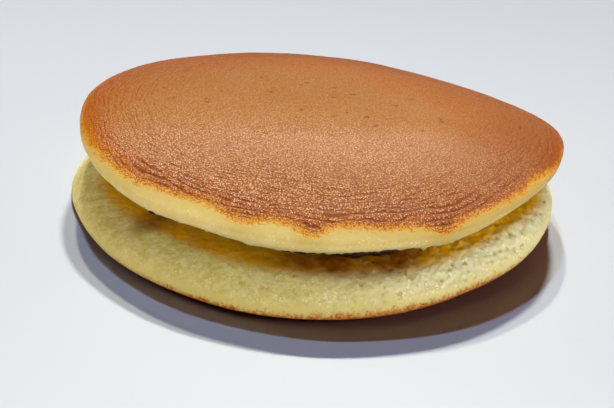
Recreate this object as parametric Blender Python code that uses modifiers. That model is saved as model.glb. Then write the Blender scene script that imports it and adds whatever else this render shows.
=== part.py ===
"""Dorayaki: two round griddle cakes, browned faces outward, with sweet bean paste between them.

Metres, +Z up. The origin lies under the middle of the whole, on the surface that it rests on,
and the side that gapes faces -Y.

Each piece starts as a turned profile. Slow waves round its rim then make it as uneven as
hand-poured batter: the lower cake lies on a flat spot with its right side lifted, and the upper
cake is bent like a shallow saddle and tipped open at the front.
"""
import math
from dataclasses import dataclass

import bpy

# Both cakes
CAKE_THICKNESS = 0.011        # through the middle, without the seat of the paste
DOME_POWER = 2.2              # how the browned face falls from its middle to its rim
EDGE_POWER = 10.0             # how tight the browned face turns down at its edge
BELLY_POWER = 2.7             # how the sponge face runs in from the rim
SEAT_DEPTH = 0.0020           # dent that the paste presses into each sponge face
SEAT_SHARE = 0.78             # radius of that dent, as a share of the cake's

# Lower cake
LOWER_RADIUS = 0.048
LOWER_RIM_HEIGHT = 0.0028     # of its widest line above the surface
LOWER_CRUST_EDGE = 0.0012     # height of the rounded edge of the browned face
LOWER_FLAT_SHARE = 0.50       # share of the radius that lies flat on the surface

# Upper cake
UPPER_RADIUS = 0.0489
UPPER_RIM_HEIGHT = 0.0165
UPPER_CRUST_EDGE = 0.0022
UPPER_DOME = 0.0057           # rise of the browned face from its rim to its middle
UPPER_OFFSET = (0.0009, 0.0002)  # of its middle from the lower cake's

# Bean paste
PASTE_RADIUS = 0.0340
PASTE_EDGE_POWER = 12.0       # how square its bulging edge is
GAP = 0.0003                  # between the paste and each cake

# The whole, set so that its box is centred on the origin
LOWER_CENTRE = (-0.0003, 0.0)

# Fineness of the meshes
RIM_STEPS = 72
INNER_RINGS = 7
EDGE_RINGS = 8
EDGE_START = 0.35             # where the close rings of the edge begin, as a share of its turn
BELLY_RINGS = 10
PASTE_RINGS = 5
MERGE_DISTANCE = 0.00001      # joins the profile's ends on the axis


@dataclass(frozen=True)
class Wave:
    """A wave round the rim: crests in the whole turn, height, and where one crest stands."""
    crests: int
    size: float
    at_deg: float

    def value(self, angle):
        return self.size * math.cos(self.crests * (angle - math.radians(self.at_deg)))


@dataclass(frozen=True)
class Bulge:
    """One swelling of an outline: height, half its width in degrees, and where it stands."""
    size: float
    half_width_deg: float
    at_deg: float

    def value(self, angle):
        away = (math.degrees(angle) - self.at_deg + 180.0) % 360.0 - 180.0
        return self.size * math.exp(-(away / self.half_width_deg) ** 2)


@dataclass(frozen=True)
class Cake:
    """A griddle cake, turned about a vertical line through its centre."""
    browned_up: bool
    centre: tuple
    radius: float
    rim_height: float
    crust_edge: float
    dome: float
    flat_share: float
    tilt_power: float         # 1 tilts the cake as a plate, more curls it up from its flat middle
    outline: tuple            # waves of the radius
    bend: tuple               # waves of the height: one crest tilts the cake, two make a saddle
    ruffle: tuple             # waves of the sponge side's depth near the rim, as shares of it

    def rise(self, share):
        """0 on the flat middle and 1 at the rim, for a share of the radius."""
        return max(0.0, (share - self.flat_share) / (1.0 - self.flat_share))

    def radius_at(self, angle):
        return self.radius + sum(wave.value(angle) for wave in self.outline)

    def bend_at(self, share, angle):
        rise = self.rise(share)
        powers = [self.tilt_power if wave.crests == 1 else DOME_POWER for wave in self.bend]
        return sum(wave.value(angle) * rise ** power for wave, power in zip(self.bend, powers))

    def crust_height(self, share):
        """Height of the browned face from the widest line, measured outward from the paste."""
        rise = self.rise(share)
        edge = self.crust_edge * math.sqrt(max(0.0, 1.0 - rise ** EDGE_POWER))
        return self.dome * (1.0 - rise ** DOME_POWER) + edge

    def belly(self, share):
        """Depth of the sponge side, inward from the widest line."""
        return (CAKE_THICKNESS - self.crust_edge) * math.sqrt(max(0.0, 1.0 - share ** BELLY_POWER))

    def sponge_height(self, share):
        """Height of the pale face that lies on the paste, measured like the browned one's."""
        seat = SEAT_DEPTH * max(0.0, 1.0 - (share / SEAT_SHARE) ** 2) ** 2
        return self.dome * (1.0 - self.rise(share) ** DOME_POWER) - self.belly(share) + seat

    def ruffle_at(self, share, angle):
        """What the ruffle adds to the sponge side's height, measured the same way."""
        return -self.belly(share) * share ** DOME_POWER * sum(wave.value(angle) for wave in self.ruffle)

    def up(self, outward):
        """World height of a height measured outward, before the cake is bent."""
        return self.rim_height + (outward if self.browned_up else -outward)

    def sponge_face_at(self, x, y):
        """World height of the pale face above or below a point of the surface."""
        angle = math.atan2(y - self.centre[1], x - self.centre[0])
        reach = math.hypot(x - self.centre[0], y - self.centre[1])
        share = min(1.0, reach / self.radius_at(angle))
        outward = self.sponge_height(share) + self.ruffle_at(share, angle)
        return self.up(outward) + self.bend_at(share, angle)


LOWER = Cake(
    browned_up=False,
    centre=LOWER_CENTRE,
    radius=LOWER_RADIUS,
    rim_height=LOWER_RIM_HEIGHT,
    crust_edge=LOWER_CRUST_EDGE,
    dome=LOWER_RIM_HEIGHT - LOWER_CRUST_EDGE,
    flat_share=LOWER_FLAT_SHARE,
    tilt_power=DOME_POWER,
    outline=(Wave(2, 0.0013, 8), Wave(3, 0.0009, 25), Wave(7, 0.0001, 20), Wave(10, 0.0001, 5)),
    bend=(Wave(1, 0.0021, 22), Wave(2, 0.0007, 20)),
    ruffle=(Wave(7, 0.09, 26), Wave(16, 0.03, 0)),
)

UPPER = Cake(
    browned_up=True,
    centre=(LOWER_CENTRE[0] + UPPER_OFFSET[0], LOWER_CENTRE[1] + UPPER_OFFSET[1]),
    radius=UPPER_RADIUS,
    rim_height=UPPER_RIM_HEIGHT,
    crust_edge=UPPER_CRUST_EDGE,
    dome=UPPER_DOME,
    flat_share=0.0,
    tilt_power=1.0,
    outline=(Wave(2, 0.0003, 70), Wave(3, 0.0003, 7), Wave(4, 0.0002, 22), Wave(11, 0.0001, 10)),
    bend=(Wave(1, 0.0021, -87), Wave(2, 0.0022, -12), Wave(3, 0.0004, -18), Wave(4, 0.0005, -10)),
    ruffle=(Wave(9, 0.14, -17), Wave(16, 0.03, 8)),
)

# The paste is squeezed towards the front, and most at three places there.
PASTE_OUTLINE = (Wave(1, 0.0032, -85), Wave(9, 0.0004, -72), Wave(14, 0.0003, 8),
                 Bulge(0.0034, 28, -79), Bulge(0.0018, 5, -121), Bulge(0.0060, 7, -138))


def linear(red, green, blue):
    """Linear colour with full alpha, from 8-bit display values."""
    def channel(value):
        value /= 255.0
        return value / 12.92 if value <= 0.04045 else ((value + 0.055) / 1.055) ** 2.4
    return (channel(red), channel(green), channel(blue), 1.0)


def make_material(name, colour, roughness):
    material = bpy.data.materials.new(name)
    material.use_nodes = True
    shader = material.node_tree.nodes["Principled BSDF"]
    shader.inputs["Base Color"].default_value = colour
    shader.inputs["Roughness"].default_value = roughness
    shader.inputs["Metallic"].default_value = 0.0
    material.diffuse_color = colour
    return material


def turned(name, profile, collection):
    """The solid that a profile makes, turned about Z: (radius, height) points from top to bottom."""
    mesh = bpy.data.meshes.new(name + "_profile")
    points = [(radius, 0.0, height) for radius, height in profile]
    mesh.from_pydata(points, [(i, i + 1) for i in range(len(points) - 1)], [])
    turning = bpy.data.objects.new(name + "_turning", mesh)
    collection.objects.link(turning)
    screw = turning.modifiers.new("Turn", "SCREW")
    screw.axis = "Z"
    screw.angle = 2.0 * math.pi
    screw.steps = RIM_STEPS
    screw.render_steps = RIM_STEPS
    screw.use_merge_vertices = True
    screw.merge_threshold = MERGE_DISTANCE
    depsgraph = bpy.context.evaluated_depsgraph_get()
    solid = bpy.data.objects.new(name, bpy.data.meshes.new_from_object(turning.evaluated_get(depsgraph)))
    solid.data.name = name
    bpy.data.objects.remove(turning)
    collection.objects.link(solid)
    return solid


def move_points(solid, place):
    """Moves each point of a turned solid to where place(reach, angle, height) puts it."""
    for vertex in solid.data.vertices:
        x, y, height = vertex.co
        vertex.co = place(math.hypot(x, y), math.atan2(y, x), height)
    solid.data.shade_smooth()


def crust_shares(cake):
    """Shares of the radius along the browned face, from the middle out, closer at its edge."""
    edge = []
    for i in range(EDGE_RINGS + 1):
        turn = math.pi / 2 * (EDGE_START + (1.0 - EDGE_START) * i / EDGE_RINGS)
        edge.append(cake.flat_share + (1.0 - cake.flat_share) * math.sin(turn) ** (2.0 / EDGE_POWER))
    inner = [edge[0] * i / INNER_RINGS for i in range(INNER_RINGS)]
    return inner + edge


def belly_shares():
    """Shares of the radius along the sponge face, from the middle out, closer at the rim."""
    turns = [math.pi / 2 * i / BELLY_RINGS for i in range(BELLY_RINGS)]
    return [0.0] + [math.cos(turn) ** (2.0 / BELLY_POWER) for turn in reversed(turns[1:])]


def make_cake(name, cake, crust, sponge, collection):
    crust_side = [(share * cake.radius, cake.up(cake.crust_height(share))) for share in crust_shares(cake)]
    belly_side = [(share * cake.radius, cake.up(cake.sponge_height(share))) for share in belly_shares()]
    if cake.browned_up:
        profile = crust_side + belly_side[::-1]
    else:
        profile = belly_side + crust_side[::-1]
    solid = turned(name, profile, collection)

    def place(reach, angle, height):
        share = reach / cake.radius
        radius = share * cake.radius_at(angle)
        x = cake.centre[0] + radius * math.cos(angle)
        y = cake.centre[1] + radius * math.sin(angle)
        if (height < cake.rim_height) == cake.browned_up:
            height += cake.up(cake.ruffle_at(share, angle)) - cake.rim_height
        return x, y, height + cake.bend_at(share, angle)

    browned = [(face.center.z > cake.rim_height) == cake.browned_up for face in solid.data.polygons]
    solid.data.materials.append(crust)
    solid.data.materials.append(sponge)
    for face, is_browned in zip(solid.data.polygons, browned):
        face.material_index = 0 if is_browned else 1
    move_points(solid, place)
    return solid


def make_paste(name, material, collection):
    """A puck with a bulging edge, whose two faces follow the cakes' pale faces."""
    turns = [math.pi / 2 * i / PASTE_RINGS for i in range(1, PASTE_RINGS + 1)]
    edge = [math.sin(turn) ** (2.0 / PASTE_EDGE_POWER) for turn in turns]
    inner = [edge[0] * i / INNER_RINGS for i in range(INNER_RINGS)]
    half = [(share, math.sqrt(max(0.0, 1.0 - share ** PASTE_EDGE_POWER))) for share in inner + edge]
    profile = half + [(share, -level) for share, level in half[-2::-1]]
    solid = turned(name, profile, collection)

    def place(reach, angle, height):
        radius = reach * (PASTE_RADIUS + sum(change.value(angle) for change in PASTE_OUTLINE))
        x = LOWER.centre[0] + radius * math.cos(angle)
        y = LOWER.centre[1] + radius * math.sin(angle)
        bottom = LOWER.sponge_face_at(x, y) + GAP
        top = UPPER.sponge_face_at(x, y) - GAP
        return x, y, bottom + (top - bottom) * (height + 1.0) / 2.0

    solid.data.materials.append(material)
    move_points(solid, place)
    return solid


def main():
    for old in list(bpy.data.objects):
        bpy.data.objects.remove(old)
    collection = bpy.data.collections.new("dorayaki")
    bpy.context.scene.collection.children.link(collection)
    upper_crust = make_material("upper_crust", linear(190, 126, 78), 0.5)
    upper_sponge = make_material("upper_sponge", linear(215, 193, 128), 0.6)
    lower_crust = make_material("lower_crust", linear(165, 100, 55), 0.5)
    lower_sponge = make_material("lower_sponge", linear(203, 186, 122), 0.65)
    bean = make_material("bean_paste", linear(58, 33, 34), 0.45)
    make_cake("pancake_bottom", LOWER, lower_crust, lower_sponge, collection)
    make_cake("pancake_top", UPPER, upper_crust, upper_sponge, collection)
    make_paste("bean_paste", bean, collection)


main()
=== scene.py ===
"""Looks of the dorayaki: two fine-grained griddle cakes and the bean paste between them.

Metres and the part's own frame throughout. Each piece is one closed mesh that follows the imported
solid it replaces, with the crust's ridges, the sponge's pores and the paste's lumps as relief.
The sizes of noise and relief, and the numbers that the materials read from the meshes, are in
millimetres.
"""
import itertools
import math
from dataclasses import dataclass

import bpy
import numpy as np
from mathutils import Matrix, Vector


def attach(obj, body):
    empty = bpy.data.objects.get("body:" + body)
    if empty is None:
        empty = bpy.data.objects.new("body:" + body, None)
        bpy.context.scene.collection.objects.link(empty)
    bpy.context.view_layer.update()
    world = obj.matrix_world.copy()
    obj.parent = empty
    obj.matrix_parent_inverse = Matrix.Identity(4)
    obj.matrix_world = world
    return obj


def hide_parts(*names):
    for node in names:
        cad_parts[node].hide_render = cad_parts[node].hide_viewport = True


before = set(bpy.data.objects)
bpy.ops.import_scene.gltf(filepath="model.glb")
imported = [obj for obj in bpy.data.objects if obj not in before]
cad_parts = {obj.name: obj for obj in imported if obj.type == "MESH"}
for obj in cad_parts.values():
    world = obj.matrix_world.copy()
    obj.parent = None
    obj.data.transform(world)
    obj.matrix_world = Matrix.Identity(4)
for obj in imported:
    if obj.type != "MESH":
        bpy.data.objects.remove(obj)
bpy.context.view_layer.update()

MM = 0.001

# Both cakes, as in the solids
CAKE_THICKNESS = 0.011
DOME_POWER = 2.2
EDGE_POWER = 10.0
BELLY_POWER = 2.7
SEAT_DEPTH = 0.0020
SEAT_SHARE = 0.78
LOWER_CENTRE = (-0.0003, 0.0)
UPPER_OFFSET = (0.0009, 0.0002)
LOWER_RIM_HEIGHT = 0.0028
LOWER_CRUST_EDGE = 0.0012

# Bean paste, as in the solid, and its gap to each cake
PASTE_RADIUS = 0.0340
PASTE_EDGE_POWER = 12.0
GAP = 0.0003

# Where the finishes change, in mm. Over each REACH or EDGE, from its first value to its second, one
# gives way to another
MIDDLE_AT = (-6.0, -16.0)     # x and y of where the crust is palest
MIDDLE_REACH = (24.0, 46.0)
SHINY_AT = (-15.0, -20.0)     # x and y of where the crust is glossiest
SHINY_REACH = (25.0, 55.0)
TOASTED_REACH = (3.0, 30.0)   # in from the widest line, over which the crust's painted shade fades
CRUSTED_EDGE = (-0.4, 0.9)    # in from the end of the browning, for the crust's relief
FACE_EDGE = (1.2, 2.8)        # in from the widest line, for the painted golden shade of the recess and the stain and painted shade of the sponge
SOAKED_EDGE = (-1.6, 1.8)     # out from the line where the painted golden shade of the recess ends
STAINED_EDGE = (-0.5, 5.0)    # out from the paste

# Browning: how far the gold edge reaches out from the crust, and the colour ramp's ends, in mm
GOLD_WIDTH = 1.0
BROWNING_SPAN = (-1.5, 8.0)

# Fineness of the meshes
BASE_STEPS = 7                # points of the ring next to each middle; further out they double
MOST_STEPS = 896              # most points that a ring can have
PROFILE_SAMPLES = 6000
RIM_CROWDING = 3              # power that crowds the samples towards the widest line
RING_STRETCH = 1.3            # longest step along a ring, in ring spacings
FINE_FADE = 1.35              # where the middle's spacing is reached, in widths of the fine zone
PASTE_FACE_RINGS = 60
PASTE_EDGE_RINGS = 40
PASTE_STEPS = 448

# Camera
PHOTO_WIDTH = 614
FOCAL_PIXELS = 1692.2
SENSOR = 36.0
CAMERA_DISTANCE = 0.350
CAMERA_PITCH = math.radians(26.0)
CAMERA_ROLL = math.radians(4.87)
CAMERA_ASIDE = (-0.00094, 0.00077)   # rightwards and upwards of the line to the origin
CAMERA_CLIP = (0.01, 20.0)


@dataclass(frozen=True)
class Wave:
    """A wave round the rim: crests in the whole turn, height, and where one crest stands."""
    crests: int
    size: float
    at_deg: float

    def value(self, angle):
        return self.size * np.cos(self.crests * (angle - math.radians(self.at_deg)))


@dataclass(frozen=True)
class Bulge:
    """One swelling of an outline: height, half its width in degrees, and where it stands."""
    size: float
    half_width_deg: float
    at_deg: float

    def value(self, angle):
        away = (np.degrees(angle) - self.at_deg + 180.0) % 360.0 - 180.0
        return self.size * np.exp(-(away / self.half_width_deg) ** 2)


def total(changes, angle):
    return sum(change.value(angle) for change in changes)


@dataclass(frozen=True)
class Cake:
    """A griddle cake: the form of its solid, and where its finishes lie round the rim."""
    seed: int
    browned_up: bool
    centre: tuple
    radius: float
    rim_height: float         # of its widest line above the surface
    crust_edge: float         # height of the rounded edge of the browned face
    dome: float
    flat_share: float         # share of the radius inside which the browned face is flat
    tilt_power: float         # how the bend's wave with one crest grows outwards
    outline: tuple            # what comes on top of the radius
    bend: tuple               # what comes on top of the height at the rim
    ruffle: tuple             # waves of the sponge side, as shares of its depth
    crust_spacing: tuple      # ring spacing at the rim and in the middle of the browned face
    sponge_spacing: tuple
    fine_crust: float         # how far in from the widest line the rings keep the rim's spacing
    fine_sponge: float
    browning_ends: tuple      # mm in from the widest line, over the browned face
    toasting: tuple           # painted shade round the rim: how much darker the crust near the rim, and the sponge, are painted
    soaked: tuple             # mm from the axis out to which the sponge is painted with golden shade, in the recess between the cakes
    crumbling: tuple          # how crumbly the sponge is, which also sets where it is painted lighter as lit and flecked with painted glints
    open_skin: tuple          # mm in from the widest line where the sponge's skin tears, and is torn
    crumb_height: float       # mm

    def rise(self, share):
        return np.maximum(0.0, (share - self.flat_share) / (1.0 - self.flat_share))

    def crust_height(self, share):
        rise = self.rise(share)
        edge = self.crust_edge * np.sqrt(np.maximum(0.0, 1.0 - rise ** EDGE_POWER))
        return self.dome * (1.0 - rise ** DOME_POWER) + edge

    def belly(self, share):
        return (CAKE_THICKNESS - self.crust_edge) * np.sqrt(np.maximum(0.0, 1.0 - share ** BELLY_POWER))

    def sponge_height(self, share):
        seat = SEAT_DEPTH * np.maximum(0.0, 1.0 - (share / SEAT_SHARE) ** 2) ** 2
        return self.dome * (1.0 - self.rise(share) ** DOME_POWER) - self.belly(share) + seat

    def points(self, share, angle, browned):
        """World points at these shares of the radius, on the browned face or on the sponge."""
        ruffle = -self.belly(share) * share ** DOME_POWER * total(self.ruffle, angle)
        outward = np.where(browned, self.crust_height(share), self.sponge_height(share) + ruffle)
        rise = self.rise(share)
        bend = sum(wave.value(angle) * rise ** (self.tilt_power if wave.crests == 1 else DOME_POWER)
                   for wave in self.bend)
        reach = share * (self.radius + total(self.outline, angle))
        return np.stack([
            self.centre[0] + reach * np.cos(angle),
            self.centre[1] + reach * np.sin(angle),
            self.rim_height + (outward if self.browned_up else -outward) + bend,
        ], axis=-1)

    def sponge_face_at(self, x, y):
        """World height of the sponge above or below points of the surface."""
        angle = np.arctan2(y - self.centre[1], x - self.centre[0])
        reach = np.hypot(x - self.centre[0], y - self.centre[1])
        share = np.minimum(1.0, reach / (self.radius + total(self.outline, angle)))
        return self.points(share, angle, False)[..., 2]


# The last bulge of the lower cake's outline isn't in its solid: the front is up to 1 mm further out
LOWER = Cake(
    seed=41,
    browned_up=False,
    centre=LOWER_CENTRE,
    radius=0.048,
    rim_height=LOWER_RIM_HEIGHT,
    crust_edge=LOWER_CRUST_EDGE,
    dome=LOWER_RIM_HEIGHT - LOWER_CRUST_EDGE,
    flat_share=0.50,
    tilt_power=DOME_POWER,
    outline=(Wave(2, 0.0013, 8), Wave(3, 0.0009, 25), Wave(7, 0.0001, 20), Wave(10, 0.0001, 5),
             Bulge(0.0010, 38, -84)),
    bend=(Wave(1, 0.0021, 22), Wave(2, 0.0007, 20)),
    ruffle=(Wave(7, 0.09, 26), Wave(16, 0.03, 0)),
    crust_spacing=(0.00045, 0.00080),
    sponge_spacing=(0.00030, 0.00110),
    fine_crust=0.006,
    fine_sponge=0.019,
    browning_ends=(Wave(0, 2.2, 0), Bulge(-1.4, 58, -80), Bulge(-0.5, 10, -48), Wave(9, 0.15, 30)),
    toasting=(Wave(0, 0.0, 0),),
    soaked=(Wave(0, 41.3, 0), Bulge(5.4, 26, 2), Bulge(1.8, 20, -165)),
    crumbling=(Wave(0, 0.30, 0), Bulge(1.0, 42, -38)),
    open_skin=(0.8, 3.0),
    crumb_height=0.30,
)

UPPER = Cake(
    seed=3,
    browned_up=True,
    centre=(LOWER_CENTRE[0] + UPPER_OFFSET[0], LOWER_CENTRE[1] + UPPER_OFFSET[1]),
    radius=0.0489,
    rim_height=0.0165,
    crust_edge=0.0022,
    dome=0.0057,
    flat_share=0.0,
    tilt_power=1.0,
    outline=(Wave(2, 0.0003, 70), Wave(3, 0.0003, 7), Wave(4, 0.0002, 22), Wave(11, 0.0001, 10)),
    bend=(Wave(1, 0.0021, -87), Wave(2, 0.0022, -12), Wave(3, 0.0004, -18), Wave(4, 0.0005, -10)),
    ruffle=(Wave(9, 0.14, -17), Wave(16, 0.03, 8)),
    crust_spacing=(0.00032, 0.00046),
    sponge_spacing=(0.00034, 0.00130),
    fine_crust=0.0175,
    fine_sponge=0.008,
    browning_ends=(Wave(0, 2.35, 0), Wave(2, 1.2, -100), Wave(1, 0.9, -120), Bulge(-1.3, 4, -105),
                   Bulge(-2.0, 4, -91), Bulge(1.4, 12, -79), Bulge(-1.4, 4, -61), Bulge(1.9, 13, -49),
                   Bulge(0.9, 6, -66), Bulge(0.5, 8, -98), Bulge(0.8, 8, -126), Bulge(0.9, 5, -117),
                   Bulge(1.5, 8, -28), Bulge(-1.0, 14, -172), Bulge(-1.6, 22, -60),
                   Bulge(-1.4, 75, 70), Bulge(-0.4, 18, -128)),
    toasting=(Bulge(1.0, 42, -30), Bulge(1.25, 60, 85)),
    soaked=(Wave(0, 37.0, 0),),
    crumbling=(Wave(0, 0.45, 0), Bulge(0.3, 36, -36)),
    open_skin=(1.6, 3.4),
    crumb_height=0.9,
)

# How strong the paste's brown stain and the painted shade of the gap under the upper rim are round the rim
STAIN = (Wave(0, 0.16, 0), Bulge(0.85, 15, -85), Bulge(0.85, 9, -62), Bulge(0.6, 6, -137))

# The paste's outline, as in the solid: squeezed towards the front, and most at three places there
PASTE_OUTLINE = (Wave(1, 0.0032, -85), Wave(9, 0.0004, -72), Wave(14, 0.0003, 8),
                 Bulge(0.0034, 28, -79), Bulge(0.0018, 5, -121), Bulge(0.0060, 7, -138))


# ---------------------------------------------------------------- noise for the relief

NOISE_TABLE = 32              # the noise repeats after this many lumps each way
NOISE_GAIN = 1.6              # brings the noise to about -1 to 1


def noise(points, size, seed):
    """Smooth noise from about -1 to 1, in lumps of about size, at points in millimetres."""
    rng = np.random.default_rng(seed)
    slopes = rng.normal(size=(NOISE_TABLE, NOISE_TABLE, NOISE_TABLE, 3))
    slopes /= np.linalg.norm(slopes, axis=-1, keepdims=True)
    scaled = points / size
    cell = np.floor(scaled).astype(int)
    part = scaled - cell
    eased = part ** 3 * (part * (part * 6.0 - 15.0) + 10.0)
    value = np.zeros(len(points))
    for corner in itertools.product((0, 1), repeat=3):
        weight = np.prod(np.where(corner, eased, 1.0 - eased), axis=1)
        slope = slopes[tuple(((cell + corner) % NOISE_TABLE).T)]
        value += weight * np.sum(slope * (part - corner), axis=1)
    return value * NOISE_GAIN


def layered(points, layers, seed):
    """The sum of layers of noise, each a height and the size of its lumps."""
    return sum(height * noise(points, size, seed + k) for k, (height, size) in enumerate(layers))


def cells(points, size, seed):
    """Distance in sizes from each point to the nearest of scattered seeds, and that seed's own number."""
    rng = np.random.default_rng(seed)
    places = rng.random((NOISE_TABLE, NOISE_TABLE, NOISE_TABLE, 3))
    numbers = rng.random((NOISE_TABLE, NOISE_TABLE, NOISE_TABLE))
    scaled = points / size
    cell = np.floor(scaled).astype(int)
    nearest = np.full(len(points), np.inf)
    number = np.zeros(len(points))
    for step in itertools.product((-1, 0, 1), repeat=3):
        other = cell + step
        index = tuple((other % NOISE_TABLE).T)
        away = np.linalg.norm(other + places[index] - scaled, axis=1)
        closer = away < nearest
        nearest[closer] = away[closer]
        number[closer] = numbers[index][closer]
    return nearest, number


def smooth_step(low, high, value):
    part = np.clip((value - low) / (high - low), 0.0, 1.0)
    return part * part * (3.0 - 2.0 * part)


def patch(points, at, reach):
    """1 within the first reach of a place, seen from above, and 0 from the second."""
    return 1.0 - smooth_step(*reach, np.hypot(points[:, 0] - at[0], points[:, 1] - at[1]))


@dataclass(frozen=True)
class Pits:
    """Scattered round pits, in mm. share is how many of the scattered places have one, and warp how
    far noise pulls them out of round."""
    spacing: float
    share: float
    radius: float
    depth: float
    warp: float = 0.0

    def value(self, points, seed):
        """1 in the middle of each pit and 0 between them."""
        away, number = cells(points, self.spacing, seed)
        round_pit = 1.0 - smooth_step(0.0, self.radius / self.spacing, away)
        return np.where(number < self.share, round_pit, 0.0)


# ---------------------------------------------------------------- meshes

def profile(cake, browned):
    """Shares of the radius from the middle out, and how far each is from the widest line along the face."""
    share = 1.0 - (1.0 - np.linspace(0.0, 1.0, PROFILE_SAMPLES)) ** RIM_CROWDING
    height = cake.crust_height(share) if browned else cake.sponge_height(share)
    along = np.concatenate([[0.0], np.cumsum(np.hypot(np.diff(share) * cake.radius, np.diff(height)))])
    return share, along[-1] - along


def ring_shares(cake, browned, spacing, fine_width):
    """Shares of the rings of one face, without its middle, their distances from the widest line and
    the spacing there."""
    share, from_rim = profile(cake, browned)
    rim_spacing, middle_spacing = spacing
    blend = smooth_step(fine_width, FINE_FADE * fine_width, from_rim)
    step = rim_spacing + (middle_spacing - rim_spacing) * blend
    rings = np.concatenate([[0.0], np.cumsum(-np.diff(from_rim) / step[1:])])
    count = int(round(rings[-1]))
    at = np.linspace(0.0, rings[-1], count + 1)[1:]
    return np.interp(at, rings, share), np.interp(at, rings, from_rim), np.interp(at, rings, step)


def ring_counts(cake, share, step):
    """Points of each ring: the base doubled until its steps are short enough."""
    wanted = 2.0 * math.pi * share * cake.radius / (step * RING_STRETCH * BASE_STEPS)
    doublings = np.ceil(np.log2(np.maximum(1.0, wanted))).astype(int)
    counts = np.minimum(BASE_STEPS * 2 ** doublings, MOST_STEPS)
    for i in range(1, len(counts)):
        counts[i] = min(counts[i], 2 * counts[i - 1])
    for i in range(len(counts) - 2, -1, -1):
        counts[i] = max(counts[i], counts[i + 1] // 2)
    return counts


def band(first, count, next_first, next_count):
    """Triangles between two rings whose counts are the same or one double the other."""
    if count > next_count:
        return band(next_first, next_count, first, count)[:, ::-1]
    i = np.arange(count)
    here, after = first + i, first + (i + 1) % count
    if count == next_count:
        out, out_after = next_first + i, next_first + (i + 1) % count
        return np.concatenate([np.stack([here, out, out_after], 1), np.stack([here, out_after, after], 1)])
    out, middle = next_first + 2 * i, next_first + 2 * i + 1
    out_after = next_first + (2 * i + 2) % next_count
    return np.concatenate([np.stack([here, out, middle], 1), np.stack([here, middle, after], 1),
                           np.stack([after, middle, out_after], 1)])


def rings_mesh(counts, turned_over):
    """Faces of a closed mesh of rings from one middle point to the other, and each point's ring and
    angle."""
    starts = np.concatenate([[1], 1 + np.cumsum(counts)])
    last = starts[-1]
    i = np.arange(counts[0])
    faces = [np.stack([np.zeros_like(i), 1 + i, 1 + (i + 1) % counts[0]], 1)]
    for k in range(len(counts) - 1):
        faces.append(band(starts[k], counts[k], starts[k + 1], counts[k + 1]))
    i = np.arange(counts[-1])
    faces.append(np.stack([starts[-2] + i, np.full_like(i, last), starts[-2] + (i + 1) % counts[-1]], 1))
    faces = np.concatenate(faces)
    if turned_over:
        faces = faces[:, ::-1]
    ring = np.concatenate([[0], np.repeat(np.arange(len(counts)) + 1, counts), [len(counts) + 1]])
    angle = np.concatenate([[0.0]] + [2.0 * math.pi * np.arange(n) / n for n in counts] + [[0.0]])
    return faces, ring, angle


def new_piece(name, points, faces):
    mesh = bpy.data.meshes.new(name)
    mesh.vertices.add(len(points))
    mesh.vertices.foreach_set("co", points.astype(np.float32).ravel())
    mesh.loops.add(faces.size)
    mesh.loops.foreach_set("vertex_index", faces.astype(np.int32).ravel())
    mesh.polygons.add(len(faces))
    mesh.polygons.foreach_set("loop_start", np.arange(0, faces.size, 3, dtype=np.int32))
    mesh.update(calc_edges=True)
    mesh.validate()
    mesh.shade_smooth()
    piece = bpy.data.objects.new(name, mesh)
    bpy.context.scene.collection.objects.link(piece)
    return piece


def point_normals(piece):
    normals = np.zeros(len(piece.data.vertices) * 3, np.float32)
    piece.data.vertex_normals.foreach_get("vector", normals)
    return normals.reshape(-1, 3).astype(float)


def set_points(piece, points):
    piece.data.vertices.foreach_set("co", points.astype(np.float32).ravel())
    piece.data.update()


def keep_numbers(piece, **named):
    """Stores one number a point under each name, for the materials."""
    for name, values in named.items():
        attribute = piece.data.attributes.new(name, "FLOAT", "POINT")
        attribute.data.foreach_set("value", np.asarray(values, np.float32))


# ---------------------------------------------------------------- relief of the cakes

# Rows of ridges along the rim. A size of noise there is along the rim and then across it
RIM_CIRCLE = 45.0             # angles become lengths round this circle
WANDER = ((1.0, 11.0, 5.0), (0.35, 3.6, 2.0))    # how far the rows wander, and its sizes
ROWS_PER_MM = 0.66            # at the rim
ROWS_CROWDING = 0.012         # more rows per mm, for each mm inwards
ROWS_EVEN_FROM = 20.0         # mm in from the rim
GROOVE_SIDES = (0.40, 0.95)   # from the crest of a ridge, 0, to the bottom of a groove, 1
GROOVE_DEPTH = 0.10
MORE_DEPTH_AT_RIM = 0.18
ROW_GAP_SIZE = (5.0, 1.6)
ROW_GAP_SPAN = (-0.40, 0.35)  # values of the gaps' noise between which a row goes from gone to whole
FEWER_GAPS_AT_RIM = 0.35      # what is added to that noise in the rim band
ROWS_BEGIN = (0.4, 1.8)       # mm in from the rim
ROWS_FADE = (9.0, 26.0)       # mm in from the rim
ROWS_LOST_INSIDE = 0.8        # share of their depth that has gone where they have faded
RIM_BAND = (5.0, 11.0)        # mm in from the rim, over which the band of deeper rows ends
ROWS_AT_BACK = 0.40           # depth of the rows at the back, as a share of that at the front
ROWS_FRONT = (0.35, 0.90)     # between which values of front the rows grow to their full depth
RIM_BAND_FRONT = (0.40, 0.90)    # and between which the rim band comes in

# The crust is roughest at the front, and the painted glints and shade of its grains are strongest there: mm
# from the middle towards the viewer, and its lean to the left
FRONT_SPAN = (4.0, 44.0)
FRONT_LEAN = 0.05

CRUST_SWELLS = ((0.09, 9.0), (0.030, 3.0))       # heights and sizes
CRUST_GRAIN = 0.012
GRAIN_LIMIT = 2.0
CRUST_LUMPS = (0.016, 0.7)
GRAIN_AT_BACK = 0.24
MORE_GRAIN_AT_FRONT = 0.74
CRUST_PITS = Pits(spacing=3.4, share=0.55, radius=0.75, depth=0.05)
PITS_BEGIN = (8.0, 20.0)      # mm in from the rim

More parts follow.
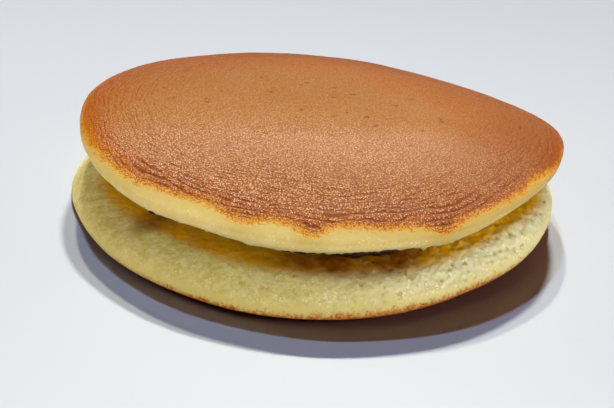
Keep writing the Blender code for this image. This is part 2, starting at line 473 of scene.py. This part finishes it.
# Sponge: an uneven skin that opens into crumb and torn pores where it is crumbly
SPONGE_SWELL = (0.05, 6.0)
FLUFF = ((0.13, 2.6), (0.10, 1.3))
FLUFF_EVERYWHERE = 0.6
FLUFF_WHERE_CRUMBLY = 0.5
FINE_CRUMB = 1.0
COARSE_CRUMB = 2.0
COARSE_CRUMB_HEIGHT = 0.5
PORE_WARP = 1.6
LARGE_PORES = Pits(spacing=2.6, share=0.50, radius=1.0, depth=0.40, warp=0.9)
SMALL_PORES = Pits(spacing=1.25, share=0.55, radius=0.55, depth=0.26, warp=0.5)


def rim_noise(angle, from_rim, along, across, seed):
    """Noise whose lumps are stretched along the rim."""
    around = np.stack([RIM_CIRCLE * np.cos(angle), RIM_CIRCLE * np.sin(angle), from_rim], axis=1)
    return noise(around / np.array([along, along, across]), 1.0, seed)


def crust_relief(points, angle, from_rim, seed):
    """Millimetres that the browned face stands out, its rows of ridges counted inwards, how deep they
    are, and how strong the grain and its painted glints and shade are, which is most towards the front."""
    wander = sum(size * rim_noise(angle, from_rim, along, across, seed + k)
                 for k, (size, along, across) in enumerate(WANDER))
    rows = from_rim * (ROWS_PER_MM + ROWS_CROWDING * np.minimum(from_rim, ROWS_EVEN_FROM)) + wander
    groove = smooth_step(*GROOVE_SIDES, np.abs(2.0 * (rows - np.floor(rows)) - 1.0))
    front = smooth_step(*FRONT_SPAN, -FRONT_LEAN * points[:, 0] - points[:, 1])
    at_rim = (1.0 - smooth_step(*RIM_BAND, from_rim)) * smooth_step(*RIM_BAND_FRONT, front)
    gaps = rim_noise(angle, from_rim, *ROW_GAP_SIZE, seed + 2)
    depth = smooth_step(*ROW_GAP_SPAN, gaps + FEWER_GAPS_AT_RIM * at_rim)
    depth *= smooth_step(*ROWS_BEGIN, from_rim)
    depth *= 1.0 - ROWS_LOST_INSIDE * smooth_step(*ROWS_FADE, from_rim)
    depth *= ROWS_AT_BACK + (1.0 - ROWS_AT_BACK) * smooth_step(*ROWS_FRONT, front)
    relief = -(GROOVE_DEPTH + MORE_DEPTH_AT_RIM * at_rim) * groove * depth
    relief += layered(points, CRUST_SWELLS, seed + 3)
    grain = np.random.default_rng(seed + 5).normal(size=len(points))
    grainy = GRAIN_AT_BACK + MORE_GRAIN_AT_FRONT * front
    lumps = layered(points, (CRUST_LUMPS,), seed + 6)
    relief += (CRUST_GRAIN * np.clip(grain, -GRAIN_LIMIT, GRAIN_LIMIT) + lumps) * grainy
    pits = CRUST_PITS.value(points, seed + 7) * smooth_step(*PITS_BEGIN, from_rim)
    relief -= CRUST_PITS.depth * pits
    return relief, rows, depth, grainy


def sponge_relief(points, from_rim, seed, cake, crumbly):
    """Millimetres that the pale face stands out, and how deep in a pore each point is."""
    open_skin = smooth_step(*cake.open_skin, from_rim)
    fluff = layered(points, FLUFF, seed)
    crumbs = np.maximum(0.0, noise(points, FINE_CRUMB, seed + 5))
    crumbs += COARSE_CRUMB_HEIGHT * noise(points, COARSE_CRUMB, seed + 9)
    warp = np.stack([noise(points, PORE_WARP, seed + 6 + k) for k in range(3)], axis=1)
    large, small = (kind.value(points + kind.warp * warp, seed + 2 + k)
                    for k, kind in enumerate((LARGE_PORES, SMALL_PORES)))
    torn = FLUFF_WHERE_CRUMBLY * fluff + cake.crumb_height * crumbs
    torn -= LARGE_PORES.depth * large + SMALL_PORES.depth * small
    relief = layered(points, (SPONGE_SWELL,), seed + 4)
    relief += open_skin * (FLUFF_EVERYWHERE * fluff + crumbly * torn)
    return relief, open_skin * crumbly * np.maximum(large, small)


def make_cake(name, cake):
    browned_rings = ring_shares(cake, True, cake.crust_spacing, cake.fine_crust)
    sponge_rings = ring_shares(cake, False, cake.sponge_spacing, cake.fine_sponge)
    counts = np.concatenate([
        ring_counts(cake, browned_rings[0], browned_rings[2]),
        ring_counts(cake, sponge_rings[0], sponge_rings[2])[-2::-1]])
    shares = np.concatenate([[0.0], browned_rings[0], sponge_rings[0][-2::-1], [0.0]])
    across_browned = profile(cake, True)[1][0]
    across_sponge = profile(cake, False)[1][0]
    from_rim = np.concatenate([
        [across_browned], browned_rings[1], -sponge_rings[1][-2::-1], [-across_sponge]])
    faces, ring, angle = rings_mesh(counts, not cake.browned_up)
    share, signed = shares[ring], from_rim[ring] / MM
    points = cake.points(share, angle, signed >= 0.0)
    piece = new_piece(name, points, faces)
    normals = point_normals(piece)

    spots = points / MM
    crust, rows, depth, grainy = crust_relief(spots, angle, np.maximum(0.0, signed), cake.seed)
    crumbly = total(cake.crumbling, angle)
    sponge, pore = sponge_relief(spots, -signed, cake.seed + 20, cake, crumbly)
    browned = signed - total(cake.browning_ends, angle)
    crusted = smooth_step(*CRUSTED_EDGE, browned)
    relief = crusted * crust + (1.0 - crusted) * sponge
    reach = share * (cake.radius + total(cake.outline, angle)) / MM
    on_face = smooth_step(*FACE_EDGE, -signed)
    soaked = (1.0 - smooth_step(*SOAKED_EDGE, reach - total(cake.soaked, angle))) * on_face
    from_paste = reach - (PASTE_RADIUS + total(PASTE_OUTLINE, angle)) / MM
    stained = (1.0 - smooth_step(*STAINED_EDGE, from_paste)) * total(STAIN, angle) * on_face
    toasted = total(cake.toasting, angle) * (1.0 - smooth_step(*TOASTED_REACH, signed))
    points = points + normals * relief[:, None] * MM
    points[:, 2] = np.maximum(points[:, 2], 0.0)
    set_points(piece, points)
    keep_numbers(piece, browned=browned, reach=reach, middle=patch(spots, MIDDLE_AT, MIDDLE_REACH),
                 shiny=patch(spots, SHINY_AT, SHINY_REACH), toasted=toasted, rows=rows,
                 row_depth=crusted * depth, grainy=grainy, pore=(1.0 - crusted) * pore,
                 crumbly=crumbly, soaked=soaked, stained=stained)
    return piece


# Relief of the paste, round its edge
PASTE_SEED = 77
PASTE_FLAT = 0.86             # share of the radius where the rings of the edge begin
PASTE_NOISE_LEVEL = 0.003     # the noise is taken on a layer that reaches this far up and down
PASTE_LUMPS = ((0.55, 4.2), (0.30, 1.9), (0.12, 0.8))    # heights and sizes
PASTE_PULLED_IN = 0.25
PASTE_LUMPY = (0.8, 1.0)      # shares of the radius between which the lumps grow


def make_paste(name):
    """A thick lumpy layer between the two pale faces."""
    flat_rings = np.linspace(0.0, PASTE_FLAT, PASTE_FACE_RINGS)[1:]
    edge_turn = np.linspace(0, 0.5, PASTE_EDGE_RINGS) * math.pi
    ring_share = np.concatenate([flat_rings, 1.0 - (1.0 - PASTE_FLAT) * np.cos(edge_turn)[1:]])
    level = np.sqrt(np.maximum(0.0, 1.0 - ring_share ** PASTE_EDGE_POWER))
    shares = np.concatenate([[0.0], ring_share, ring_share[-2::-1], [0.0]])
    levels = np.concatenate([[1.0], level, -level[-2::-1], [-1.0]])
    faces, ring, angle = rings_mesh(np.full(len(shares) - 2, PASTE_STEPS), False)
    share, height = shares[ring], levels[ring]
    reach = share * (PASTE_RADIUS + total(PASTE_OUTLINE, angle))
    flat = np.stack([reach * np.cos(angle), reach * np.sin(angle), height * PASTE_NOISE_LEVEL], axis=1) / MM
    lumps = layered(flat, PASTE_LUMPS, PASTE_SEED)
    reach += (lumps - PASTE_PULLED_IN) * MM * smooth_step(*PASTE_LUMPY, share)
    x = LOWER.centre[0] + reach * np.cos(angle)
    y = LOWER.centre[1] + reach * np.sin(angle)
    bottom = LOWER.sponge_face_at(x, y) + GAP
    top = UPPER.sponge_face_at(x, y) - GAP
    points = np.stack([x, y, bottom + (top - bottom) * (height + 1.0) / 2.0], axis=1)
    return new_piece(name, points, faces)


# ---------------------------------------------------------------- materials

def linear(red, green, blue):
    """Linear colour with full alpha, from 8-bit display values."""
    def channel(value):
        value /= 255.0
        return value / 12.92 if value <= 0.04045 else ((value + 0.055) / 1.055) ** 2.4
    return (channel(red), channel(green), channel(blue), 1.0)


class Look:
    """A node material under construction."""

    def __init__(self, name):
        self.material = bpy.data.materials.new(name)
        self.material.use_nodes = True
        self.tree = self.material.node_tree
        self.shader = self.tree.nodes["Principled BSDF"].inputs

    def add(self, kind, inputs=(), **settings):
        node = self.tree.nodes.new(kind)
        for name, value in settings.items():
            setattr(node, name, value)
        for name, value in dict(inputs).items():
            self.put(node.inputs[name], value)
        return node

    def put(self, socket, value):
        if isinstance(value, bpy.types.NodeSocket):
            self.tree.links.new(value, socket)
        else:
            socket.default_value = value

    def number(self, name):
        return self.add("ShaderNodeAttribute", attribute_name=name).outputs["Fac"]

    def math(self, operation, *values, clamp=False):
        node = self.add("ShaderNodeMath", operation=operation, use_clamp=clamp)
        for socket, value in zip(node.inputs, values):
            self.put(socket, value)
        return node.outputs[0]

    def times(self, first, second, clamp=False):
        return self.math("MULTIPLY", first, second, clamp=clamp)

    def rest(self, value):
        return self.math("SUBTRACT", 1.0, value)

    def sway(self, value, amount, base=0.0, clamp=False):
        """base, moved to both sides by a noise's value, which lies round one half."""
        return self.math("MULTIPLY_ADD", self.math("SUBTRACT", value, 0.5), amount, base, clamp=clamp)

    def span(self, value, low, high, to_low=0.0, to_high=1.0, kind="SMOOTHSTEP"):
        """value's place between low and high, carried over to another span."""
        inputs = {"Value": value, "From Min": low, "From Max": high, "To Min": to_low, "To Max": to_high}
        return self.add("ShaderNodeMapRange", inputs, interpolation_type=kind).outputs[0]

    def mix(self, share, first, second):
        node = self.add("ShaderNodeMix", data_type="RGBA")
        self.put(node.inputs[0], share)
        self.put(node.inputs[6], first)
        self.put(node.inputs[7], second)
        return node.outputs[2]

    def place(self):
        """Position on the object in millimetres."""
        spot = self.add("ShaderNodeTexCoord").outputs["Object"]
        scaled = self.add("ShaderNodeVectorMath", operation="SCALE")
        self.put(scaled.inputs[0], spot)
        scaled.inputs["Scale"].default_value = 1.0 / MM
        return scaled.outputs[0]

    def moved(self, place, amount):
        node = self.add("ShaderNodeVectorMath", operation="ADD")
        self.put(node.inputs[0], place)
        node.inputs[1].default_value = (amount, amount, amount)
        return node.outputs[0]

    def noise(self, place, size, detail=2.0, roughness=0.5):
        inputs = {"Vector": place, "Scale": 1.0 / size, "Detail": detail, "Roughness": roughness}
        return self.add("ShaderNodeTexNoise", inputs).outputs[0]

    def cells(self, place, size):
        return self.add("ShaderNodeTexVoronoi", {"Vector": place, "Scale": 1.0 / size}).outputs

    def soft_cells(self, place, size, smoothness):
        """Distance from the nearest seed of smoothed cells."""
        node = self.add("ShaderNodeTexVoronoi", {"Vector": place, "Scale": 1.0 / size}, feature="SMOOTH_F1")
        node.inputs["Smoothness"].default_value = smoothness
        return node.outputs["Distance"]

    def ramp(self, value, stops):
        """A colour ramp whose stops are (position from 0 to 1, colour)."""
        node = self.add("ShaderNodeValToRGB", {"Fac": value})
        elements = node.color_ramp.elements
        while len(elements) < len(stops):
            elements.new(1.0)
        for element, (position, colour) in zip(elements, stops):
            element.position = position
            element.color = colour
        return node.outputs[0]

    def bump(self, height, strength):
        """height is in millimetres."""
        node = self.add("ShaderNodeBump", {"Height": height, "Distance": MM, "Strength": strength})
        return node.outputs[0]


UPPER_TONE = {
    "browning": [(0.0, linear(200, 168, 84)), (0.09, linear(204, 158, 60)), (0.19, linear(200, 136, 30)),
                 (0.30, linear(188, 110, 10)), (0.44, linear(174, 88, 4)), (0.70, linear(168, 82, 4)),
                 (1.0, linear(170, 92, 12))],
    "middle": linear(170, 110, 50),
    # painted shade: the crust darkened near the rim at the right and back
    "toasted": linear(120, 50, 4),
    # darker seams between the grains: their own colour with painted shade, strongest at the front
    "groove": linear(140, 68, 16),
    "crease": linear(106, 38, 0),
    "pit": linear(132, 54, 4),
    # painted glints on the grain tops, over their own paler colour
    "lifted": linear(246, 208, 172),
    # gold painted glints on the grain tops near the browning and under the painted shade
    "gilded": linear(224, 168, 84),
    "sponge": linear(208, 184, 108),
    "crumb": linear(217, 199, 138),
    # painted light: the crumbly side of the sponge lighter, as lit
    "dry": linear(220, 202, 144),
    # a light tan and painted shade: the top of the pale band darker next to the browning
    "edge": linear(190, 164, 88),
    # painted shade: the sponge darkened at the right and back
    "tanned": linear(160, 126, 60),
    "pore": linear(194, 160, 78),
    # painted glints on the crumbs
    "fleck": linear(228, 214, 162),
    # painted shade, tinted golden, in the recess under the upper cake's rim
    "soaked": linear(212, 152, 6),
    # the paste's stain, with painted shade in the gap under the upper rim
    "stained": linear(116, 62, 4),
}

LOWER_TONE = dict(UPPER_TONE, **{
    "sponge": linear(198, 183, 98),
    "crumb": linear(221, 210, 144),
    "edge": linear(204, 186, 112),
    "pore": linear(184, 162, 64),
    # painted glints on the crumbs
    "fleck": linear(254, 248, 214),
    # painted light: the crumbly side of the sponge lighter, as lit
    "dry": linear(246, 237, 184),
    "browning": [(0.0, linear(200, 166, 98)), (0.09, linear(192, 138, 66)), (0.20, linear(176, 100, 34)),
                 (0.33, linear(148, 72, 14)), (1.0, linear(150, 78, 8))],
})

PASTE_TONE = [(0.3, linear(34, 14, 8)), (0.55, linear(54, 24, 12)), (0.75, linear(86, 42, 18))]
PASTE_SKIN = linear(24, 10, 8)

# Noise of the cakes: size in mm and, where they aren't the usual ones, detail and roughness
BROAD = (9.0, 3.0)
MEDIUM = (2.6, 3.0)
FLECK_PATCH = (2.4,)
SMALL = (1.3, 3.0, 0.6)
TINY = (1.1,)
SOFT = (0.8, 4.0, 0.65)
FINE = (0.55, 3.0, 0.6)

# Cells of the cakes, in mm; the grain's second value is how soft its cells are
GRAIN = (0.37, 0.10)
SUGAR = 0.55
SPECKS = 3.1
SPECKS_MOVED = 17.0           # keeps the specks apart from the other cells

# How much each tone covers at most; for the painted glints on the crumbs, near the browning and further out
COVER = {"toasted": 0.66, "pit": 0.85, "lifted": 0.95, "groove": 0.95, "crease": 0.88, "dry": 0.85,
         "edge": 0.9, "tanned": 0.50, "pore": 0.75, "fleck": (0.1, 0.9)}

# How far each noise sways a value: the edge of the browning in mm, the rows of ridges in rows, and
# the shares of some tones
RAGGED_BY = {"medium": 1.9, "tiny": 1.6, "fine": 2.2}
MOTTLED_BY = {"broad": 1.2, "medium": 0.5}
CRUMB_BY = {"medium": 1.4, "small": 1.6}
ROWS_BY = 0.6
SOAKED_BY = 0.9

# Between which values each thing comes in. For the first eight they are mm in from the edge of the
# browning, and below 0 out on the sponge
SPAN = {
    "crust": (-1.2, 0.2),
    "seamed": (-0.6, 1.4),
    "toasted": (0.5, 4.0),
    "paler": (1.0, 5.0),
    "deep": (2.5, 7.5),
    "edge": (-5.5, -1.0),
    "fleck_begins": (-2.0, -4.0),
    "soft_bumps": (-1.0, -5.0),
    "crease": (0.50, 0.90),          # from a ridge's crest, 0, to the bottom of a groove, 1
    "top": (0.45, 0.14),             # distances from a grain's middle
    "seam": (0.43, 0.62),
    "speck": (0.25, 0.10),           # distance from a speck's middle
    "speck_chosen": (0.56, 0.54),    # which of the specks are there, by their own number
    "speck_reach": (40.0, 30.0),     # mm from the axis
    "sugar": (0.50, 0.15),           # distance from the middle of a painted glint on the crumbs
    "fleck_patch": (0.44, 0.58),
    "dry": (0.25, 1.3),              # how crumbly, for the painted light on the crumbly side
    "bumps_crumbly": (0.2, 1.0),
    "rough": (0.3, 0.7),
}
TOAST_DEEPENS = 0.8           # how much sooner the browning deepens under the painted shade
TOAST_GILDS = 0.75            # and how much less pale the painted glints on its grains are there

# Bumps of the materials, in mm, and what they are scaled by
GRAIN_BUMP, FINE_BUMP, CREASE_BUMP = -0.20, 0.06, -0.07
SOFT_BUMP = (0.10, 0.22)
SOFT_BUMP_CRUMBLY = (0.5, 1.0)

CRUST_ROUGHNESS = (0.27, 0.45)
MORE_ROUGH_SPONGE = 0.22
MORE_ROUGH_ASIDE = 0.16       # away from where the crust is glossiest
CAKE_SHINE = 0.34
CAKE_SHINE_TINT = (1.0, 0.88, 0.72, 1.0)
SPONGE_DEPTH = 0.0022         # how far light gets into the sponge
SPONGE_DEPTH_RATIO = (1.0, 0.62, 0.25)
SPONGE_GLOW = 0.6

# The same for the paste: its cells' size in mm and softness, its noise, skins, gloss and bumps
PASTE_CELLS = (1.9, 0.5)
PASTE_PATCHES = (3.0,)
PASTE_FINE = (0.5, 4.0, 0.6)
PASTE_SKIN_SPAN = (0.30, 0.75)
PASTE_SKIN_COVER = 0.5
PASTE_ROUGHNESS = (0.26, 0.46)
PASTE_SHINE = 0.4
PASTE_CELL_BUMP, PASTE_FINE_BUMP = -0.5, 0.25
PASTE_BUMP_STRENGTH = 0.7


def browning_depth(look, place, toast, medium, fine):
    """Millimetres in from the edge of the browning, which noise moves to and fro and painted shade carries
    further in.
    """
    ragged = look.sway(medium, RAGGED_BY["medium"])
    ragged = look.sway(look.noise(place, *TINY), RAGGED_BY["tiny"], ragged)
    ragged = look.sway(fine, RAGGED_BY["fine"], ragged)
    depth = look.math("ADD", look.math("ADD", look.number("browned"), GOLD_WIDTH), ragged)
    return look.times(depth, look.math("MULTIPLY_ADD", toast, TOAST_DEEPENS, 1.0))


def creases(look, fine):
    """Broken dark lines between the rows of ridges."""
    phase = look.math("FRACT", look.sway(fine, ROWS_BY, look.number("rows")))
    line = look.math("ABSOLUTE", look.math("MULTIPLY_ADD", phase, 2.0, -1.0))
    return look.times(look.span(line, *SPAN["crease"]), look.number("row_depth"))


def scattered_specks(look, place):
    speck = look.cells(look.moved(place, SPECKS_MOVED), SPECKS)
    own_number = look.add("ShaderNodeSeparateColor", {"Color": speck["Color"]}).outputs[0]
    chosen = look.span(own_number, *SPAN["speck_chosen"])
    specks = look.times(look.span(speck["Distance"], *SPAN["speck"]), chosen)
    return look.times(specks, look.span(look.number("reach"), *SPAN["speck_reach"]))


def crust_colour(look, place, tone, depth, toast, medium, grain, line):
    """Lighter and more golden in the middle, mottled everywhere and painted darker as shade at the right
    and back, with pale grain tops and darker seams that carry painted glints and painted shade, most at the
    front.
    """
    way = look.span(depth, *BROWNING_SPAN, kind="LINEAR")
    crust = look.ramp(way, tone["browning"])
    mottled = look.sway(look.noise(place, *BROAD), MOTTLED_BY["broad"], look.number("middle"))
    mottled = look.sway(medium, MOTTLED_BY["medium"], mottled, clamp=True)
    crust = look.mix(look.times(mottled, look.span(depth, *SPAN["deep"])), crust, tone["middle"])
    # painted shade: the crust darker near the rim at the right and back
    darker = look.times(toast, look.span(depth, *SPAN["toasted"], 0.0, COVER["toasted"]), clamp=True)
    crust = look.mix(darker, crust, tone["toasted"])
    crust = look.mix(look.times(scattered_specks(look, place), COVER["pit"]), crust, tone["pit"])
    # the pale grain tops carry painted glints and the darker seams painted shade, strongest towards the
    # front
    grainy = look.times(look.number("grainy"), look.span(depth, *SPAN["seamed"]))
    tops = look.times(look.span(grain, *SPAN["top"]), grainy)
    seams = look.times(look.span(grain, *SPAN["seam"]), grainy)
    not_toasted = look.math("MULTIPLY_ADD", toast, -TOAST_GILDS, 1.0, clamp=True)
    paler = look.times(look.span(depth, *SPAN["paler"]), not_toasted)
    lifted = look.mix(paler, tone["gilded"], tone["lifted"])
    crust = look.mix(look.times(tops, COVER["lifted"]), crust, lifted)
    crust = look.mix(look.times(seams, COVER["groove"]), crust, tone["groove"])
    return look.mix(look.times(line, COVER["crease"]), crust, tone["crease"])


def sponge_colour(look, place, tone, toast, medium):
    """Cream, with ochre pores and lighter crumb. Painted light and painted glints on its crumbly side;
    painted shade next to the browning on the upper cake, at the right and back, and golden in the recess
    between the cakes; the paste's stain, with painted shade in the gap under the upper rim.
    """
    browned, crumbly = look.number("browned"), look.number("crumbly")
    crumb = look.sway(medium, CRUMB_BY["medium"], 0.5)
    crumb = look.sway(look.noise(place, *SMALL), CRUMB_BY["small"], crumb, clamp=True)
    sponge = look.mix(crumb, tone["sponge"], tone["crumb"])
    # painted light: the crumbly side lighter, as lit
    sponge = look.mix(look.span(crumbly, *SPAN["dry"], 0.0, COVER["dry"]), sponge, tone["dry"])
    # the sponge next to the browning: on the upper cake a light tan and painted shade
    sponge = look.mix(look.span(browned, *SPAN["edge"], 0.0, COVER["edge"]), sponge, tone["edge"])
    # painted shade: the sponge darker at the right and back
    sponge = look.mix(look.times(toast, COVER["tanned"], clamp=True), sponge, tone["tanned"])
    sponge = look.mix(look.times(look.number("pore"), COVER["pore"], clamp=True), sponge, tone["pore"])
    # painted glints on the crumbs of the crumbly side
    sugar = look.span(look.cells(place, SUGAR)["Distance"], *SPAN["sugar"])
    fleck = look.times(sugar, look.span(look.noise(place, *FLECK_PATCH), *SPAN["fleck_patch"]))
    fleck = look.times(fleck, crumbly)
    fleck = look.times(fleck, look.span(browned, *SPAN["fleck_begins"], *COVER["fleck"]))
    sponge = look.mix(fleck, sponge, tone["fleck"])
    # painted shade: golden in the recess between the cakes, and with the paste's stain in the gap under the
    # upper rim
    uneven = look.sway(medium, SOAKED_BY, 1.0)
    for name in ("soaked", "stained"):
        sponge = look.mix(look.times(look.number(name), uneven, clamp=True), sponge, tone[name])
    return sponge


def cake_bumps(look, place, crusted, fine, grain, line):
    """Grain and creases on the crust, and soft bumps on the sponge."""
    bumps = look.math("MULTIPLY_ADD", fine, FINE_BUMP, look.times(grain, GRAIN_BUMP))
    bumps = look.times(bumps, look.number("grainy"))
    bumps = look.math("MULTIPLY_ADD", line, CREASE_BUMP, bumps)
    soft = look.span(look.number("browned"), *SPAN["soft_bumps"], *SOFT_BUMP)
    soft = look.times(look.noise(place, *SOFT), soft)
    soft = look.times(soft, look.span(look.number("crumbly"), *SPAN["bumps_crumbly"], *SOFT_BUMP_CRUMBLY))
    return look.math("ADD", look.times(bumps, crusted), look.times(soft, look.rest(crusted)))


def cake_look(name, tone):
    """Browned crust that fades through gold into pale sponge, by the numbers on the mesh."""
    look = Look(name)
    place = look.place()
    toast = look.number("toasted")
    medium = look.noise(place, *MEDIUM)
    fine = look.noise(place, *FINE)
    grain = look.soft_cells(place, *GRAIN)
    depth = browning_depth(look, place, toast, medium, fine)
    line = creases(look, fine)
    crust = crust_colour(look, place, tone, depth, toast, medium, grain, line)
    sponge = sponge_colour(look, place, tone, toast, medium)
    crusted = look.span(depth, *SPAN["crust"])
    pale = look.rest(crusted)
    look.put(look.shader["Base Color"], look.mix(crusted, sponge, crust))
    rough = look.span(fine, *SPAN["rough"], *CRUST_ROUGHNESS)
    rough = look.math("ADD", rough, look.times(pale, MORE_ROUGH_SPONGE))
    rough = look.math("MULTIPLY_ADD", look.rest(look.number("shiny")), MORE_ROUGH_ASIDE, rough)
    look.put(look.shader["Roughness"], rough)
    look.put(look.shader["Specular IOR Level"], CAKE_SHINE)
    look.put(look.shader["Specular Tint"], CAKE_SHINE_TINT)
    look.put(look.shader["Subsurface Weight"], look.times(pale, SPONGE_GLOW))
    look.put(look.shader["Subsurface Radius"], SPONGE_DEPTH_RATIO)
    look.put(look.shader["Subsurface Scale"], SPONGE_DEPTH)
    look.put(look.shader["Normal"], look.bump(cake_bumps(look, place, crusted, fine, grain, line), 1.0))
    return look.material


def paste_look(name):
    """Dark, moist and lumpy, with darker skins between the lumps."""
    look = Look(name)
    place = look.place()
    lumps = look.soft_cells(place, *PASTE_CELLS)
    fine = look.noise(place, *PASTE_FINE)
    colour = look.ramp(look.noise(place, *PASTE_PATCHES), PASTE_TONE)
    skins = look.span(lumps, *PASTE_SKIN_SPAN, 0.0, PASTE_SKIN_COVER)
    look.put(look.shader["Base Color"], look.mix(skins, colour, PASTE_SKIN))
    look.put(look.shader["Roughness"], look.span(fine, *SPAN["rough"], *PASTE_ROUGHNESS))
    look.put(look.shader["Specular IOR Level"], PASTE_SHINE)
    height = look.math("MULTIPLY_ADD", fine, PASTE_FINE_BUMP, look.times(lumps, PASTE_CELL_BUMP))
    look.put(look.shader["Normal"], look.bump(height, PASTE_BUMP_STRENGTH))
    return look.material


# ---------------------------------------------------------------- stage

@dataclass(frozen=True)
class Lamp:
    """An oval panel that faces the origin; azimuth 0 is behind the object and 90 at its right."""
    name: str
    azimuth_deg: float
    elevation_deg: float
    distance: float
    size: tuple                  # wide and high
    watts: float
    colour: tuple
    mirrored: bool = False       # whether shiny surfaces show it
    spread_deg: float = 180.0    # how wide its beam is


# Small lamps behind and above, whose shadows are the photo's
LAMPS = (
    Lamp("key", 6.0, 58.6, 3.5, (0.26, 0.12), 80.0, (0.95, 0.97, 0.93), mirrored=True),
    Lamp("second", -8.5, 59.0, 3.5, (0.14, 0.12), 46.0, (1.0, 0.96, 0.78), mirrored=True),
    Lamp("overhead", -20.0, 75.0, 3.5, (0.16, 0.14), 42.0, (0.50, 0.65, 1.0)),
)
# Soft fills that light the food alone
FOOD_FILLS = (
    Lamp("front_fill", 190.0, 15.0, 1.6, (1.2, 0.7), 9.6, (1.0, 1.0, 0.92)),
    Lamp("low_fill", 175.0, 2.5, 1.6, (1.2, 0.12), 2.6, (1.0, 1.0, 0.90)),
    Lamp("right_fill", 120.0, 20.0, 1.6, (1.0, 1.0), 20.5, (0.86, 0.88, 0.96)),
    Lamp("left_fill", -95.0, 6.0, 1.6, (0.80, 0.26), 9.5, (1.0, 0.86, 0.68), mirrored=True),
)
# Narrow fills that light the floor alone: the warm light that the food's right side sends back, and a
# weaker pale one
FLOOR_FILLS = (
    Lamp("floor_fill", 105.0, 20.0, 0.42, (0.26, 0.11), 0.021, (1.0, 0.42, 0.32), spread_deg=50.0),
    Lamp("floor_left", -70.0, 20.0, 0.42, (0.20, 0.11), 0.014, (1.0, 0.93, 0.90), spread_deg=50.0),
)
WORLD_COLOUR = (1.0, 0.32, 0.32, 1.0)
WORLD_STRENGTH = 0.038

FLOOR_SIZE = 6.0
FLOOR_NEAR = ((0.67, 0.69, 0.71, 1.0), (0.69, 0.71, 0.73, 1.0))
FLOOR_MOTTLE = 60.0           # mm
FLOOR_FAR = (0.53, 0.56, 0.59, 1.0)
FLOOR_FADE = (0.0, 260.0)     # mm behind the object, over which the floor is painted from the near tone to the darker far one, as shade where the light falls off
FLOOR_ROUGHNESS = 0.40
FLOOR_SHINE = 1.0


def floor_look():
    look = Look("pale_floor")
    place = look.place()
    pale = look.mix(look.noise(place, FLOOR_MOTTLE), *FLOOR_NEAR)
    # painted shade: the floor darker behind the object, where the light falls off
    behind = look.add("ShaderNodeSeparateXYZ", {"Vector": place}).outputs["Y"]
    look.put(look.shader["Base Color"], look.mix(look.span(behind, *FLOOR_FADE), pale, FLOOR_FAR))
    look.put(look.shader["Roughness"], FLOOR_ROUGHNESS)
    look.put(look.shader["Specular IOR Level"], FLOOR_SHINE)
    return look.material


def make_floor():
    half = FLOOR_SIZE / 2
    corners = [(-half, -half, 0.0), (half, -half, 0.0), (half, half, 0.0), (-half, half, 0.0)]
    mesh = bpy.data.meshes.new("floor")
    mesh.from_pydata(corners, [], [(0, 1, 2, 3)])
    floor = bpy.data.objects.new("floor", mesh)
    bpy.context.scene.collection.objects.link(floor)
    mesh.materials.append(floor_look())
    return floor


def add_light(lamp):
    azimuth, elevation = math.radians(lamp.azimuth_deg), math.radians(lamp.elevation_deg)
    direction = Vector((math.sin(azimuth) * math.cos(elevation),
                        math.cos(azimuth) * math.cos(elevation),
                        math.sin(elevation)))
    data = bpy.data.lights.new(lamp.name, "AREA")
    data.shape = "ELLIPSE"
    data.size, data.size_y = lamp.size
    data.energy = lamp.watts
    data.color = lamp.colour
    data.spread = math.radians(lamp.spread_deg)
    light = bpy.data.objects.new(lamp.name, data)
    light.location = direction * lamp.distance
    light.rotation_euler = direction.to_track_quat("Z", "Y").to_euler()
    light.visible_camera = False
    light.visible_glossy = lamp.mirrored
    bpy.context.scene.collection.objects.link(light)
    return light


def light_stage(pieces, floor):
    for lamp in LAMPS:
        add_light(lamp)
    for name, lit, fills in (("food", pieces, FOOD_FILLS), ("floor", (floor,), FLOOR_FILLS)):
        receivers = bpy.data.collections.new(name)
        for piece in lit:
            receivers.objects.link(piece)
        for fill in fills:
            light = add_light(fill)
            light.light_linking.receiver_collection = receivers
            light.data.cycles.max_bounces = 0
    bpy.context.scene.cycles.use_light_tree = False   # the tree misjudges lamps that light only some pieces
    world = bpy.data.worlds.new("studio")
    world.use_nodes = True
    background = world.node_tree.nodes["Background"]
    background.inputs["Color"].default_value = WORLD_COLOUR
    background.inputs["Strength"].default_value = WORLD_STRENGTH
    bpy.context.scene.world = world


def set_camera():
    """The photograph's view: pitched down and rolled a little, with the object just off the middle."""
    ahead = Vector((0.0, math.cos(CAMERA_PITCH), -math.sin(CAMERA_PITCH)))
    level_right = Vector((1.0, 0.0, 0.0))
    level_up = Vector((0.0, math.sin(CAMERA_PITCH), math.cos(CAMERA_PITCH)))
    right = level_right * math.cos(CAMERA_ROLL) + level_up * math.sin(CAMERA_ROLL)
    up = level_up * math.cos(CAMERA_ROLL) - level_right * math.sin(CAMERA_ROLL)
    place = right * CAMERA_ASIDE[0] + up * CAMERA_ASIDE[1] - ahead * CAMERA_DISTANCE
    data = bpy.data.cameras.new("camera")
    data.sensor_width = SENSOR
    data.lens = FOCAL_PIXELS / PHOTO_WIDTH * SENSOR
    data.clip_start, data.clip_end = CAMERA_CLIP
    camera = bpy.data.objects.new("camera", data)
    camera.matrix_world = Matrix((
        (right.x, up.x, -ahead.x, place.x),
        (right.y, up.y, -ahead.y, place.y),
        (right.z, up.z, -ahead.z, place.z),
        (0.0, 0.0, 0.0, 1.0)))
    bpy.context.scene.collection.objects.link(camera)
    bpy.context.scene.camera = camera


def dress(piece, node, material):
    piece.data.materials.append(material)
    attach(piece, "root")
    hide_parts(node)


def main():
    upper = make_cake("upper_cake", UPPER)
    lower = make_cake("lower_cake", LOWER)
    paste = make_paste("paste")
    dress(upper, "pancake_top", cake_look("upper_cake", UPPER_TONE))
    dress(lower, "pancake_bottom", cake_look("lower_cake", LOWER_TONE))
    dress(paste, "bean_paste", paste_look("bean_paste"))
    floor = make_floor()
    light_stage((upper, lower, paste), floor)
    set_camera()
    bpy.context.scene.view_settings.view_transform = "Standard"


main()
